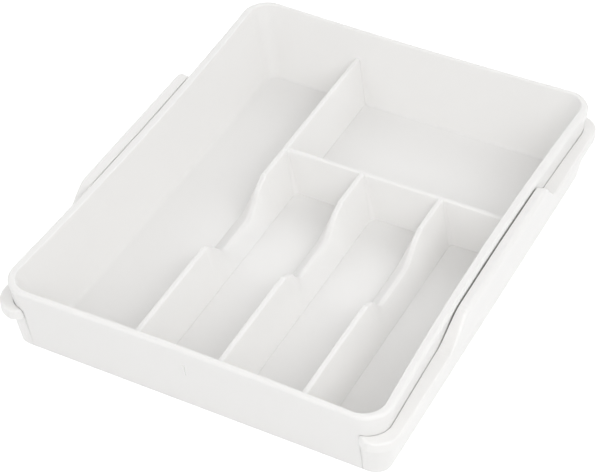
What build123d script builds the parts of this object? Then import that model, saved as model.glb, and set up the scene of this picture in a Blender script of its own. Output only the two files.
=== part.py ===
# Extendable cutlery tray: a tray with five compartments, and two side trays that slide out from under it
from build123d import *
import os
from math import atan2, cos, degrees, radians, sin, sqrt, tan

os.makedirs("parts", exist_ok=True)

# Main tray, overall
tray_width = 290.0
tray_depth = 380.0
tray_height = 61.0
wall = 2.0
fuse = 0.1

# Outer faces, which lean in towards the base: the ends reach it, and the side bands stop above the side trays
rim_corner = 21.0
rim_outer_round = 2.3
rim_inner_round = 1.0
side_bow = 3.2
front_bow = 2.0
end_draft = 11.86
band_draft = 6.0
band_height = 21.5
band_bottom = tray_height - band_height
seam_inset = 17.5
seam_x = tray_width / 2 - seam_inset

# Basin
floor_top = 5.0
floor_thickness = 2.4
floor_bottom = floor_top - floor_thickness
floor_round = 2.5
rim_width_side = 6.0
rim_width_end = 4.3
side_draft = 17.5
basin_end_draft = 17.9
basin_bow = 4.3
foot_corner = 8.0
rim_inner_corner = 16.0

# Dividers, folded sheets that are open underneath
ridge_height = 39.0
ridge_width = 3.6
ridge_round = 1.6
hollow_ridge = 0.6
divider_spread = 10.6
divider_centres = (-48.9, 15.0, 78.6)
cross_front_foot = 46.5
cross_ridge_front = 52.7
cross_back_foot = 62.5
corner_round_foot = 4.5
corner_round_ridge = 1.2
corner_root = 1.0

# Scoops in the dividers, where fingers reach under the cutlery
scoop_front = -73.0
scoop_back = (19.0, 17.0, 17.0)
scoop_depth = (25.0, 20.0, 20.0)
scoop_front_ramp = (34.0, 28.0, 28.0)
scoop_back_ramp = 28.0
scoop_stations = 13

# Small upright rib in the middle of the front
tick_x = -2.0
tick_width = 1.5
tick_low = 34.0
tick_high = 44.0
tick_rise = 0.7
tick_root = 1.0

# Clearances of the side trays
seam_gap = 0.2
band_gap = 0.35
corner_gap = 0.3
guide_gap = 0.7

# Side trays
side_floor = 2.0
skin_inset = 1.8
skin_draft = 8.6
skin_base_corner = 12.0
skin_top_corner = 20.0
inner_end = 5.0
guide_wall = 1.4
web_width = 3.5
web_end = seam_x + web_width

# Flange of the side trays, with the raised grip
flange_reach = 6.6
flange_edge = tray_width / 2 + flange_reach
flange_corner = 18.0
ledge_step = 1.5
flange_top = band_bottom + ledge_step
flange_height = 8.0
flange_bottom = flange_top - flange_height
flange_round = 1.5
flange_fade_round = 6.0
skin_top = flange_top - wall
grip_front = -63.0
grip_front_ramp = 31.0
grip_back = 72.0
grip_back_ramp = 24.0
grip_inner_rise = 17.8
grip_outer_rise = 19.0
grip_outer_round = 3.0
grip_inner_round = 0.6
grip_slot = 1.1
ramp_stations = 9


def lean(angle):
    """Sideways travel for each unit of height of a face that leans by the angle."""
    return tan(radians(angle))


def smooth_step(t):
    """Eased step from 0 to 1."""
    t = min(max(t, 0.0), 1.0)
    return t * t * (3 - 2 * t)


def blend(start, stop, share):
    """Value part of the way from one to another."""
    return start + (stop - start) * share


def bow_radius(corner, centre, bow):
    """Radius of the inward bow that runs smoothly into both corner arcs."""
    return (centre ** 2 + (corner - bow) ** 2 - corner ** 2) / (2 * bow)


def bow_angle(corner, centre, bow):
    """Angle by which a corner arc overruns a quarter turn to meet the bow."""
    if bow <= 0:
        return 0.0
    return degrees(atan2(centre, corner - bow + bow_radius(corner, centre, bow)))


def outline(half_x, half_y, corner, bow_x=0.0, bow_y=0.0):
    """Rounded rectangle whose sides bow inward towards their middles."""
    centre_x = half_x - corner
    centre_y = half_y - corner
    side = bow_angle(corner, centre_y, bow_x)
    end = bow_angle(corner, centre_x, bow_y)
    side_x = centre_x + corner * cos(radians(side))
    side_y = centre_y - corner * sin(radians(side))
    end_x = centre_x - corner * sin(radians(end))
    end_y = centre_y + corner * cos(radians(end))
    with BuildSketch() as shape:
        with BuildLine():
            for turn in (1, -1):
                right = (turn * (half_x - bow_x), 0)
                back = (0, turn * (half_y - bow_y))
                if bow_x > 0:
                    ThreePointArc((turn * side_x, -turn * side_y), right, (turn * side_x, turn * side_y))
                else:
                    Line((turn * side_x, -turn * side_y), (turn * side_x, turn * side_y))
                if bow_y > 0:
                    ThreePointArc((turn * end_x, turn * end_y), back, (-turn * end_x, turn * end_y))
                else:
                    Line((turn * end_x, turn * end_y), (-turn * end_x, turn * end_y))
            sweep = 90 + side + end
            CenterArc((centre_x, centre_y), corner, -side, sweep)
            CenterArc((-centre_x, centre_y), corner, 90 - end, sweep)
            CenterArc((-centre_x, -centre_y), corner, 180 - side, sweep)
            CenterArc((centre_x, -centre_y), corner, 270 - end, sweep)
        make_face()
    return shape.sketch


def shell_side_x(level):
    """Half width of the main tray's outside at a height, at its corners."""
    return tray_width / 2 - (tray_height - level) * lean(band_draft)


def shell_end_y(level):
    """Distance of the main tray's end faces from the middle at a height."""
    return tray_depth / 2 - (tray_height - level) * lean(end_draft)


def shell_corner(level):
    """Corner radius of the main tray's outside, which ends at the seam at the base."""
    return blend(shell_side_x(0.0) - seam_x, rim_corner, level / tray_height)


def end_bow(level):
    """Inward bow of the end faces at a height."""
    return front_bow * level / tray_height


def shell_outline(level, inset=0.0):
    """Outline of the main tray's outside at a height, or of a surface inside it."""
    half_x = shell_side_x(level) - inset
    half_y = shell_end_y(level) - inset
    return outline(half_x, half_y, shell_corner(level) - inset, side_bow, end_bow(level))


def basin_outline(level, grow=0.0):
    """Outline of the basin's inside at a height, or of a surface outside it."""
    share = (level - floor_top) / (tray_height - floor_top)
    drop = tray_height - level
    half_x = tray_width / 2 - rim_width_side - drop * lean(side_draft) + grow
    half_y = tray_depth / 2 - rim_width_end - drop * lean(basin_end_draft) + grow
    corner = blend(foot_corner, rim_inner_corner, share) + grow
    bow = max(share, 0.0)
    return outline(half_x, half_y, corner, basin_bow * bow, front_bow * bow)


def fold_section(front, front_foot, back, back_foot, top, bottom, shell):
    """Section across a folded wall, or of the hollow in it, from its ridge's edges and its feet."""
    crest = top + shell
    front_slope = (front - front_foot) / (crest - floor_top)
    back_slope = (back_foot - back) / (crest - floor_top)
    low = crest - bottom
    front_top = front - shell * front_slope + shell
    back_top = back + shell * back_slope - shell
    if shell:
        middle = (front + back) / 2
        front_top = min(front_top, middle - hollow_ridge / 2)
        back_top = max(back_top, middle + hollow_ridge / 2)
    with BuildSketch() as section:
        with BuildLine():
            Polyline(
                (front - low * front_slope + shell, bottom),
                (front_top, top),
                (back_top, top),
                (back + low * back_slope - shell, bottom),
                close=True,
            )
        make_face()
        if not shell:
            fillet(section.vertices().group_by(Axis.Y)[-1], ridge_round)
    return section.sketch


def divider_section(centre, top, bottom, shell):
    """Section across a divider, or of the hollow in it."""
    front = centre - ridge_width / 2
    back = centre + ridge_width / 2
    return fold_section(front, front - divider_spread, back, back + divider_spread, top, bottom, shell)


def scoop_drop(index, y):
    """How far a divider's ridge dips at a place along it."""
    front = smooth_step((y - scoop_front) / scoop_front_ramp[index])
    back = smooth_step((scoop_back[index] - y) / scoop_back_ramp)
    return scoop_depth[index] * front * back


def divider_stations(index):
    """Places along a divider where its section is drawn through the scoop."""
    length = scoop_back[index] - scoop_front
    return [scoop_front + length * step / (scoop_stations - 1) for step in range(scoop_stations)]


def corner_section(centre, side, back, level):
    """Plan of the rounded inside corner between a divider and the cross wall, at a height."""
    drop = (ridge_height - level) / (ridge_height - floor_top)
    radius = blend(corner_round_ridge, corner_round_foot, drop)
    x = centre + side * (ridge_width / 2 + divider_spread * drop)
    turn = -1 if back else 1
    ridge_y = cross_ridge_front + ridge_width if back else cross_ridge_front
    y = blend(ridge_y, cross_back_foot if back else cross_front_foot, drop)
    reach_x = x + side * radius
    reach_y = y - turn * radius
    root_x = x - side * corner_root
    root_y = y + turn * corner_root
    middle = (reach_x - side * radius * sqrt(0.5), reach_y + turn * radius * sqrt(0.5))
    with BuildSketch() as section:
        with BuildLine():
            Polyline((x, reach_y), (root_x, reach_y), (root_x, root_y), (reach_x, root_y), (reach_x, y))
            ThreePointArc((reach_x, y), middle, (x, reach_y))
        make_face()
    return section.sketch


def corner_places():
    """Inside corners of the cross wall: divider, side of it, and whether behind the wall."""
    places = [(divider_centres[0], 1, False), (divider_centres[0], 1, True)]
    for centre in divider_centres[1:]:
        places += [(centre, -1, False), (centre, 1, False)]
    return places


def build_dividers(bottom, shell):
    """All the dividers and the cross wall, or the hollows in them."""
    reach = tray_depth / 2
    cross_middle = cross_ridge_front + ridge_width / 2
    top = ridge_height - shell
    grow = 0.0 if shell else wall / 2
    with BuildPart() as dividers:
        for index, centre in enumerate(divider_centres):
            back_end = reach if index == 0 else cross_middle
            for start, stop in ((-reach, scoop_front), (scoop_back[index], back_end)):
                for y in (start, stop):
                    with BuildSketch(Plane.XZ.offset(-y)):
                        add(divider_section(centre, top, bottom, shell))
                loft(ruled=True)
            for y in divider_stations(index):
                with BuildSketch(Plane.XZ.offset(-y)):
                    add(divider_section(centre, top - scoop_drop(index, y), bottom, shell))
            loft()
        with BuildSketch(Plane.YZ.offset(divider_centres[0])):
            cross_back = cross_ridge_front + ridge_width
            add(fold_section(cross_ridge_front, cross_front_foot, cross_back, cross_back_foot, top, bottom, shell))
        extrude(amount=tray_width / 2 - divider_centres[0])
        for centre, side, back in [] if shell else corner_places():
            for level in (bottom, ridge_height - ridge_round):
                with BuildSketch(Plane.XY.offset(level)):
                    add(corner_section(centre, side, back, level))
            loft(ruled=True)
        for level in (bottom, tray_height):
            with BuildSketch(Plane.XY.offset(level)):
                add(basin_outline(level, grow))
        loft(ruled=True, mode=Mode.INTERSECT)
    return dividers.part


def tick_section():
    """Section of the small rib, which follows the lean of the front face."""
    low = shell_end_y(tick_low) - end_bow(tick_low)
    high = shell_end_y(tick_high) - end_bow(tick_high)
    with BuildSketch() as section:
        with BuildLine():
            Polyline(
                (tick_root - low, tick_low),
                (-tick_rise - low, tick_low),
                (-tick_rise - high, tick_high),
                (tick_root - high, tick_high),
                close=True,
            )
        make_face()
    return section.sketch


# Space inside the basin, with its floor edge rounded
with BuildPart() as basin_space:
    for level in (floor_top, tray_height):
        with BuildSketch(Plane.XY.offset(level)):
            add(basin_outline(level))
    loft(ruled=True)
    fillet(basin_space.faces().sort_by(Axis.Z)[0].edges(), floor_round)

# Main tray
with BuildPart() as main_tray:
    for level in (0.0, tray_height):
        with BuildSketch(Plane.XY.offset(level)):
            add(shell_outline(level))
    loft(ruled=True)
    fillet(main_tray.faces().sort_by(Axis.Z)[-1].edges(), rim_outer_round)
    for level in (0.0, tray_height - wall):
        with BuildSketch(Plane.XY.offset(level)):
            add(shell_outline(level, wall))
    loft(ruled=True, mode=Mode.SUBTRACT)
    for side in (-1, 1):
        with BuildSketch(Plane.XY):
            with Locations((side * (seam_x + tray_width / 2), 0)):
                Rectangle(tray_width, tray_depth + 2 * wall)
        extrude(amount=band_bottom, mode=Mode.SUBTRACT)
    for level in (floor_bottom, tray_height - wall / 2):
        with BuildSketch(Plane.XY.offset(level)):
            add(basin_outline(level, wall + fuse))
    loft(ruled=True)
    add(basin_space.part, mode=Mode.SUBTRACT)
    rim_face = main_tray.faces().sort_by(Axis.Z)[-1]
    fillet(rim_face.inner_wires()[0].edges(), rim_inner_round)
    add(build_dividers(floor_top - floor_thickness / 2, 0.0))
    add(build_dividers(floor_bottom, wall), mode=Mode.SUBTRACT)
    with BuildSketch(Plane.YZ.offset(tick_x - tick_width / 2)):
        add(tick_section())
    extrude(amount=tick_width)

main_tray.part.label = "main_tray"
export_step(main_tray.part, "parts/main_tray.step")


def skin_outline(level, inset=0.0):
    """Outline of the side trays' outside at a height, flush with the ends of the main tray."""
    half_x = tray_width / 2 - skin_inset + level * lean(skin_draft)
    corner = blend(skin_base_corner, skin_top_corner, level / skin_top)
    return outline(half_x - inset, shell_end_y(level) - inset, corner - inset)


def guide_top():
    """Height of the guide walls, which keeps their insides clear of the leaning ends of the basin."""
    closing = lean(basin_end_draft) - lean(end_draft)
    at_base = rim_width_end + tray_height * closing - 2 * wall - fuse - guide_wall - 2 * guide_gap
    return at_base / (closing + front_bow / tray_height)


def guide_section(level, start, stop, inset=0.0):
    """Plan of the part that slides inside the main tray, at a height."""
    half_y = shell_end_y(level) - end_bow(level) - wall - guide_gap - inset
    with BuildSketch() as section:
        with Locations(((start + stop) / 2, 0)):
            Rectangle(stop - start, 2 * half_y)
    return section.sketch


def flange_outline():
    """Plan of the flange, which fades into the end faces."""
    front = tray_depth / 2
    corner_x = flange_edge - flange_corner
    corner_y = front - flange_corner
    start_x = seam_x + seam_gap
    start_y = shell_end_y(flange_top)
    with BuildSketch() as shape:
        with BuildLine():
            Polyline((corner_x, front), (start_x, start_y), (start_x, -start_y), (corner_x, -front))
            CenterArc((corner_x, -corner_y), flange_corner, -90, 90)
            Line((flange_edge, -corner_y), (flange_edge, corner_y))
            CenterArc((corner_x, corner_y), flange_corner, 0, 90)
        make_face()
        ends = shape.vertices().filter_by_position(Axis.X, corner_x - fuse, corner_x + fuse)
        fillet(ends, flange_fade_round)
    return shape.sketch


def band_room():
    """Plan of the room for the main tray's band, a little wider than the band at the flange's top."""
    half_x = shell_side_x(flange_top) + band_gap
    half_y = shell_end_y(flange_top) + corner_gap
    return outline(half_x, half_y, shell_corner(flange_top) + corner_gap, side_bow)


def band_x(y, level):
    """Outer face of the side band at a place along it and a height."""
    corner = shell_corner(level)
    radius = bow_radius(corner, shell_end_y(level) - corner, side_bow)
    return shell_side_x(level) - side_bow + radius - sqrt(radius ** 2 - y ** 2)


def grip_corners(y, share):
    """Inner edges of the grip's section, at the flange's foot and at the top."""
    inner_top = flange_top + grip_inner_rise * share
    low_x = band_x(y, flange_top) + band_gap
    high_x = band_x(y, inner_top) + blend(band_gap, grip_slot, share)
    return low_x, high_x, inner_top


def grip_section(y, share):
    """Section of the flange along the grip, which rises beside the band."""
    low_x, high_x, inner_top = grip_corners(y, share)
    outer_top = flange_top + grip_outer_rise * share
    outer = blend(flange_round, grip_outer_round, share)
    inner = grip_inner_round
    bulge = 1 - sqrt(0.5)
    with BuildSketch() as section:
        with BuildLine():
            Polyline(
                (high_x, inner_top - inner),
                (low_x, skin_top),
                (flange_edge, skin_top),
                (flange_edge, outer_top - outer),
            )
            outer_middle = (flange_edge - outer * bulge, outer_top - outer * bulge)
            ThreePointArc((flange_edge, outer_top - outer), outer_middle, (flange_edge - outer, outer_top))
            Line((flange_edge - outer, outer_top), (high_x + inner, inner_top))
            inner_middle = (high_x + inner * bulge, inner_top - inner * bulge)
            ThreePointArc((high_x + inner, inner_top), inner_middle, (high_x, inner_top - inner))
        make_face()
    return section.sketch


def grip_stations():
    """Places along the grip, each with how far it has risen there."""
    steps = [step / ramp_stations for step in range(ramp_stations + 1)]
    front = [(grip_front - grip_front_ramp * (1 - t), smooth_step(t)) for t in steps]
    back = [(grip_back + grip_back_ramp * t, smooth_step(1 - t)) for t in steps]
    return front + [((grip_front + grip_back) / 2, 1.0)] + back


def grip_hollow():
    """Section of the hollow under the grip, open to the side tray below."""
    low_x, high_x, inner_top = grip_corners(grip_back, 1.0)
    with BuildSketch() as section:
        with BuildLine():
            Polyline(
                (low_x + wall, skin_top),
                (flange_edge - wall, skin_top),
                (flange_edge - wall, flange_top + grip_outer_rise - wall),
                (high_x + wall, inner_top - wall),
                close=True,
            )
        make_face()
    return section.sketch


# Inside of the right side tray
with BuildPart() as side_space:
    for level in (side_floor, skin_top):
        with BuildSketch(Plane.XY.offset(level)):
            add(skin_outline(level, wall))
    loft(ruled=True)
    split(bisect_by=Plane.YZ.offset(web_end), keep=Keep.TOP)
    for level in (side_floor, skin_top):
        with BuildSketch(Plane.XY.offset(level)):
            add(guide_section(level, inner_end - wall, web_end + fuse, guide_wall))
    loft(ruled=True)

# Right side tray
with BuildPart() as right_side_tray:
    for level in (0.0, skin_top):
        with BuildSketch(Plane.XY.offset(level)):
            add(skin_outline(level))
    loft(ruled=True)
    split(bisect_by=Plane.YZ.offset(seam_x + seam_gap), keep=Keep.TOP)
    with BuildSketch(Plane.XY.offset(flange_bottom)):
        add(flange_outline())
    extrude(amount=flange_height)
    rim_edges = right_side_tray.edges().group_by(Axis.Z)[-1]
    fillet(rim_edges.filter_by_position(Axis.X, seam_x + 2 * seam_gap, flange_edge + fuse), flange_round)
    for level in (0.0, guide_top()):
        with BuildSketch(Plane.XY.offset(level)):
            add(guide_section(level, inner_end, web_end))
    loft(ruled=True)
    with BuildSketch(Plane.XY.offset(skin_top)):
        add(band_room())
        grip_start = grip_front - grip_front_ramp
        grip_end = grip_back + grip_back_ramp
        with Locations((tray_width / 2, (grip_start + grip_end) / 2)):
            Rectangle(tray_width, grip_end - grip_start)
    extrude(amount=flange_top - skin_top, mode=Mode.SUBTRACT)
    for y, share in grip_stations():
        with BuildSketch(Plane.XZ.offset(-y)):
            add(grip_section(y, share))
    loft(ruled=True)
    with BuildSketch(Plane.XZ.offset(wall - grip_back)):
        add(grip_hollow())
    extrude(amount=grip_back - grip_front - 2 * wall, mode=Mode.SUBTRACT)
    add(side_space.part, mode=Mode.SUBTRACT)

right_side_tray.part.label = "right_side_tray"
export_step(right_side_tray.part, "parts/right_side_tray.step")

# Left side tray, the mirror image of the right one
with BuildPart() as left_side_tray:
    mirror(right_side_tray.part, about=Plane.YZ)

left_side_tray.part.label = "left_side_tray"
export_step(left_side_tray.part, "parts/left_side_tray.step")
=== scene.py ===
# Extendable cutlery tray: white moulded plastic on a white floor, seen from above and right of its front
import math

import bpy
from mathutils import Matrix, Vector

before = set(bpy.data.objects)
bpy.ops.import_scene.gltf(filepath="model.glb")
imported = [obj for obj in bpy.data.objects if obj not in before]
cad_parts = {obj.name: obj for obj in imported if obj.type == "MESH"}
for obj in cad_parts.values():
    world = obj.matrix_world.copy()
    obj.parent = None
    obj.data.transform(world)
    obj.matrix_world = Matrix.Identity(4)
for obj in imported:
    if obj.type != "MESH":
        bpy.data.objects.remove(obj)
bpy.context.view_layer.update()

# Camera, in metres and degrees, for a picture of 600 by 476
CAMERA_AZIMUTH = -26.99
CAMERA_ELEVATION = 41.76
CAMERA_DISTANCE = 1.56106
CAMERA_TARGET = Vector((-0.01303, 0.00756, 0.0))
CAMERA_REACH = 50.0
FOCAL_PIXELS = 2111.96
PICTURE_WIDTH = 600
SENSOR_WIDTH = 36.0

# Plastic
PLASTIC_COLOUR = (0.87, 0.8635, 0.852, 1.0)
PLASTIC_SHADE = (0.855, 0.8475, 0.835, 1.0)
PLASTIC_IOR = 1.49
ROUGHNESS_LOW = 0.24
ROUGHNESS_HIGH = 0.36
GLOW_SHARE = 0.6
GLOW_DEPTH = 0.002
GLOW_RADIUS = (1.0, 1.0, 1.0)
FLOW_SCALE = 7.0
FLOW_DETAIL = 3.0
FLOW_ROUGHNESS = 0.45
GRAIN_SCALE = 900.0
GRAIN_DETAIL = 2.0
GRAIN_HEIGHT = 0.00002
GRAIN_STRENGTH = 0.25

# Light: the sky's strength and its share of that by height, from 0 at the horizon to 1 overhead.
# Each soft lamp has its place and its power in watts.
WHITE = (1.0, 1.0, 1.0, 1.0)
SKY_STRENGTH = 1.28
SKY_SHARES = ((0.38, 0.56), (0.46, 1.0), (0.73, 1.0), (0.80, 0.27))
SEEN_SKY_STRENGTH = 1.0
LAMP_SIZE = 1.5
LAMP_TARGET = Vector((0.0, 0.0, 0.03))
LAMPS = {
    "right_lamp": (Vector((1.3, -0.5, 1.6)), 8.7),
    "front_lamp": (Vector((0.4, -1.5, 1.5)), 5.7),
}

# Floor: its colour for the light that bounces, and what the camera and reflections see
FLOOR_HALF = 6.0
FLOOR_COLOUR = (0.85, 0.85, 0.85, 1.0)
SEEN_FLOOR_COLOUR = (0.3, 0.3, 0.3, 1.0)
SEEN_FLOOR_GLOW = 0.93


def set_input(node, values):
    """Sets a shader node's own sockets from names and values."""
    for name, value in values.items():
        node.inputs[name].default_value = value


def add_flow_marks(nodes, links, place, shader):
    """Faint clouds, as the plastic flowed into the mould, in the colour and the gloss."""
    flow = nodes.new("ShaderNodeTexNoise")
    set_input(flow, {"Scale": FLOW_SCALE, "Detail": FLOW_DETAIL, "Roughness": FLOW_ROUGHNESS})
    links.new(place.outputs["Object"], flow.inputs["Vector"])

    tint = nodes.new("ShaderNodeValToRGB")
    dark, light = tint.color_ramp.elements
    dark.color = PLASTIC_SHADE
    light.color = PLASTIC_COLOUR
    links.new(flow.outputs["Fac"], tint.inputs["Fac"])
    links.new(tint.outputs["Color"], shader.inputs["Base Color"])

    gloss = nodes.new("ShaderNodeMapRange")
    set_input(gloss, {"To Min": ROUGHNESS_LOW, "To Max": ROUGHNESS_HIGH})
    links.new(flow.outputs["Fac"], gloss.inputs["Value"])
    links.new(gloss.outputs["Result"], shader.inputs["Roughness"])


def add_grain(nodes, links, place, shader):
    """Fine spark grain of the mould in the surface."""
    grain = nodes.new("ShaderNodeTexNoise")
    set_input(grain, {"Scale": GRAIN_SCALE, "Detail": GRAIN_DETAIL})
    links.new(place.outputs["Object"], grain.inputs["Vector"])
    bump = nodes.new("ShaderNodeBump")
    set_input(bump, {"Strength": GRAIN_STRENGTH, "Distance": GRAIN_HEIGHT})
    links.new(grain.outputs["Fac"], bump.inputs["Height"])
    links.new(bump.outputs["Normal"], shader.inputs["Normal"])


def moulded_plastic():
    """White satin polypropylene that lets a little light through."""
    material = bpy.data.materials.new("white_plastic_moulding")
    material.use_nodes = True
    nodes = material.node_tree.nodes
    links = material.node_tree.links
    shader = nodes["Principled BSDF"]
    set_input(shader, {"IOR": PLASTIC_IOR, "Subsurface Weight": GLOW_SHARE})
    set_input(shader, {"Subsurface Scale": GLOW_DEPTH, "Subsurface Radius": GLOW_RADIUS})
    place = nodes.new("ShaderNodeTexCoord")
    add_flow_marks(nodes, links, place, shader)
    add_grain(nodes, links, place, shader)
    return material


def dress_nodes():
    """Gives the three mouldings the plastic."""
    plastic = moulded_plastic()
    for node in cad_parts.values():
        for slot in node.material_slots:
            slot.material = plastic


def floor_material():
    """Pale to the light that bounces. The camera and reflections see it white, with the tray's shadow."""
    material = bpy.data.materials.new("floor_white")
    material.use_nodes = True
    nodes = material.node_tree.nodes
    links = material.node_tree.links
    nodes.remove(nodes["Principled BSDF"])
    plain = nodes.new("ShaderNodeBsdfDiffuse")
    set_input(plain, {"Color": FLOOR_COLOUR})
    lit = nodes.new("ShaderNodeBsdfDiffuse")
    set_input(lit, {"Color": SEEN_FLOOR_COLOUR})
    glow = nodes.new("ShaderNodeEmission")
    set_input(glow, {"Color": WHITE, "Strength": SEEN_FLOOR_GLOW})
    seen = nodes.new("ShaderNodeAddShader")
    links.new(lit.outputs["BSDF"], seen.inputs[0])
    links.new(glow.outputs["Emission"], seen.inputs[1])
    ray = nodes.new("ShaderNodeLightPath")
    either = nodes.new("ShaderNodeMath")
    either.operation = "MAXIMUM"
    links.new(ray.outputs["Is Camera Ray"], either.inputs[0])
    links.new(ray.outputs["Is Glossy Ray"], either.inputs[1])
    mix = nodes.new("ShaderNodeMixShader")
    links.new(either.outputs["Value"], mix.inputs["Fac"])
    links.new(plain.outputs["BSDF"], mix.inputs[1])
    links.new(seen.outputs["Shader"], mix.inputs[2])
    links.new(mix.outputs["Shader"], nodes["Material Output"].inputs["Surface"])
    return material


def make_floor():
    """Wide square floor that the tray stands on."""
    half = FLOOR_HALF
    corners = [(-half, -half, 0), (half, -half, 0), (half, half, 0), (-half, half, 0)]
    mesh = bpy.data.meshes.new("floor")
    mesh.from_pydata(corners, [], [(0, 1, 2, 3)])
    mesh.materials.append(floor_material())
    floor = bpy.data.objects.new("floor", mesh)
    bpy.context.scene.collection.objects.link(floor)


def make_world():
    """White studio, brightest in a ring at the height of soft boxes. The camera sees it as plain white."""
    world = bpy.data.worlds.new("studio")
    bpy.context.scene.world = world
    world.use_nodes = True
    nodes = world.node_tree.nodes
    links = world.node_tree.links
    place = nodes.new("ShaderNodeTexCoord")
    split = nodes.new("ShaderNodeSeparateXYZ")
    links.new(place.outputs["Generated"], split.inputs["Vector"])
    ring = nodes.new("ShaderNodeValToRGB")
    stops = ring.color_ramp.elements
    while len(stops) < len(SKY_SHARES):
        stops.new(SKY_SHARES[len(stops)][0])
    for stop, (height, share) in zip(stops, SKY_SHARES):
        stop.position = height
        stop.color = (share, share, share, 1.0)
    links.new(split.outputs["Z"], ring.inputs["Fac"])
    background = nodes["Background"]
    set_input(background, {"Strength": SKY_STRENGTH})
    links.new(ring.outputs["Color"], background.inputs["Color"])
    seen = nodes.new("ShaderNodeBackground")
    set_input(seen, {"Color": WHITE, "Strength": SEEN_SKY_STRENGTH})
    ray = nodes.new("ShaderNodeLightPath")
    mix = nodes.new("ShaderNodeMixShader")
    links.new(ray.outputs["Is Camera Ray"], mix.inputs["Fac"])
    links.new(background.outputs["Background"], mix.inputs[1])
    links.new(seen.outputs["Background"], mix.inputs[2])
    links.new(mix.outputs["Shader"], nodes["World Output"].inputs["Surface"])


def aim(item, target):
    """Turns a lamp or the camera towards a point."""
    item.rotation_euler = (target - item.location).to_track_quat("-Z", "Y").to_euler()


def make_lamps():
    """Soft lamps on the right and in front, which lift the faces that look that way."""
    for name, (place, power) in LAMPS.items():
        lamp = bpy.data.lights.new(name, "AREA")
        lamp.shape = "DISK"
        lamp.size = LAMP_SIZE
        lamp.energy = power
        item = bpy.data.objects.new(name, lamp)
        bpy.context.scene.collection.objects.link(item)
        item.location = place
        aim(item, LAMP_TARGET)


def make_camera():
    """Camera at the photograph's angle."""
    data = bpy.data.cameras.new("camera")
    data.sensor_width = SENSOR_WIDTH
    data.lens = FOCAL_PIXELS * SENSOR_WIDTH / PICTURE_WIDTH
    data.clip_end = CAMERA_REACH
    item = bpy.data.objects.new("camera", data)
    bpy.context.scene.collection.objects.link(item)
    azimuth = math.radians(CAMERA_AZIMUTH)
    elevation = math.radians(CAMERA_ELEVATION)
    level = math.cos(elevation)
    forward = Vector((math.sin(azimuth) * level, math.cos(azimuth) * level, -math.sin(elevation)))
    item.location = CAMERA_TARGET - CAMERA_DISTANCE * forward
    aim(item, CAMERA_TARGET)
    bpy.context.scene.camera = item


dress_nodes()
make_floor()
make_world()
make_lamps()
make_camera()
bpy.context.scene.view_settings.view_transform = "Standard"
